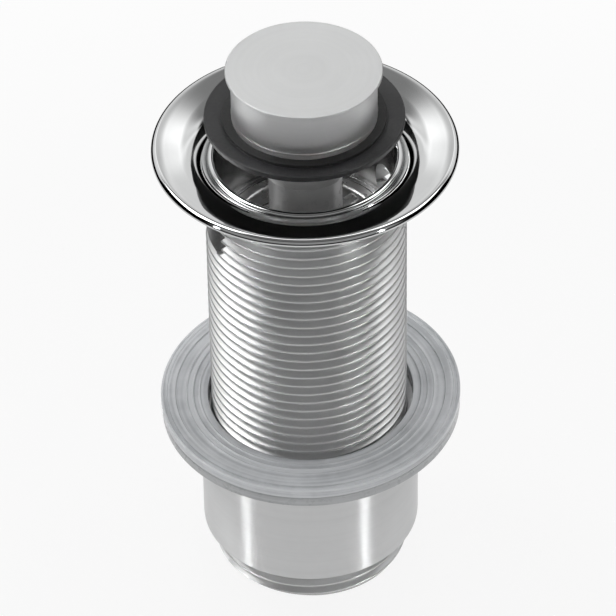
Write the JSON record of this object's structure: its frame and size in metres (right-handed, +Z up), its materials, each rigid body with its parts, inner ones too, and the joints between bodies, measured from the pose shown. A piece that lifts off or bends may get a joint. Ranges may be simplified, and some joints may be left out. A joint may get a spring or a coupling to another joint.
{
  "type": "slotted basin waste with sprung plug",
  "caption": "Slotted basin waste with a threaded tube, dished flange, sprung push-down plug with rubber seal, loose washers and a tall round back nut.",
  "frame": {"origin": "centre of the tail's end face, on the tube's axis, at the mouth of the outlet bore", "axes": "+Z up along the tube to the flange and the plug; -Y is the side the picture looks from"},
  "size_m": [0.0642, 0.0642, 0.129],
  "materials": {
    "chromed_body": "bright chrome over turned brass",
    "chromed_insert": "plated, less bright than the body",
    "cartridge_brass": "turned",
    "nut_brass": "turned",
    "steel": "plain",
    "black_rubber": "satin",
    "white_plastic": "moulded",
    "grey_plastic": "moulded",
    "chromed_plunger": "plated",
    "chromed_cap": "bright chrome, turned face",
    "clear_washer": "translucent, moulded rings",
    "frosted_washer": "translucent, plain",
    "polished_nut": "polished, plain"
  },
  "bodies": {
    "waste": {"waste_body": "chromed_body", "spider_insert": "chromed_insert", "barrel": "cartridge_brass", "barrel_gasket": "black_rubber", "lock_washer": "steel", "lock_nut": "nut_brass", "barrel_clip": "steel", "cam_guide": "white_plastic", "return_spring": "steel"},
    "plug": {"rotor": "grey_plastic", "rotor_clip": "steel", "driver": "cartridge_brass", "guide_bush": "white_plastic", "plunger": "chromed_plunger", "cap_stud": "cartridge_brass", "plug_seal": "black_rubber", "plug_cap": "chromed_cap"},
    "washer_stack": {"basin_washer": "clear_washer", "slip_washer": "frosted_washer"},
    "nut": {"back_nut": "polished_nut"}
  },
  "joints": [
    {"name": "plug_slide", "type": "slide", "parent": "waste", "child": "plug", "axis": [0, 0, 1], "range_m": [-0.0087, 0], "stiffness_N_per_m": 400, "springref_m": 0.01, "deforming": ["return_spring"]},
    {"name": "washer_slide", "type": "slide", "parent": "waste", "child": "washer_stack", "axis": [0, 0, 1], "range_m": [-0.007, 0.0578]},
    {"name": "nut_spin", "type": "hinge", "parent": "washer_stack", "child": "nut", "pos_m": [0, 0, 0.023], "axis": [0, 0, 1], "range_deg": [-1080, 9000]}
  ],
  "couplings": [
    {"joint": "washer_slide", "follows": "nut_spin", "m_per_rad": 0.00036749}
  ]
}
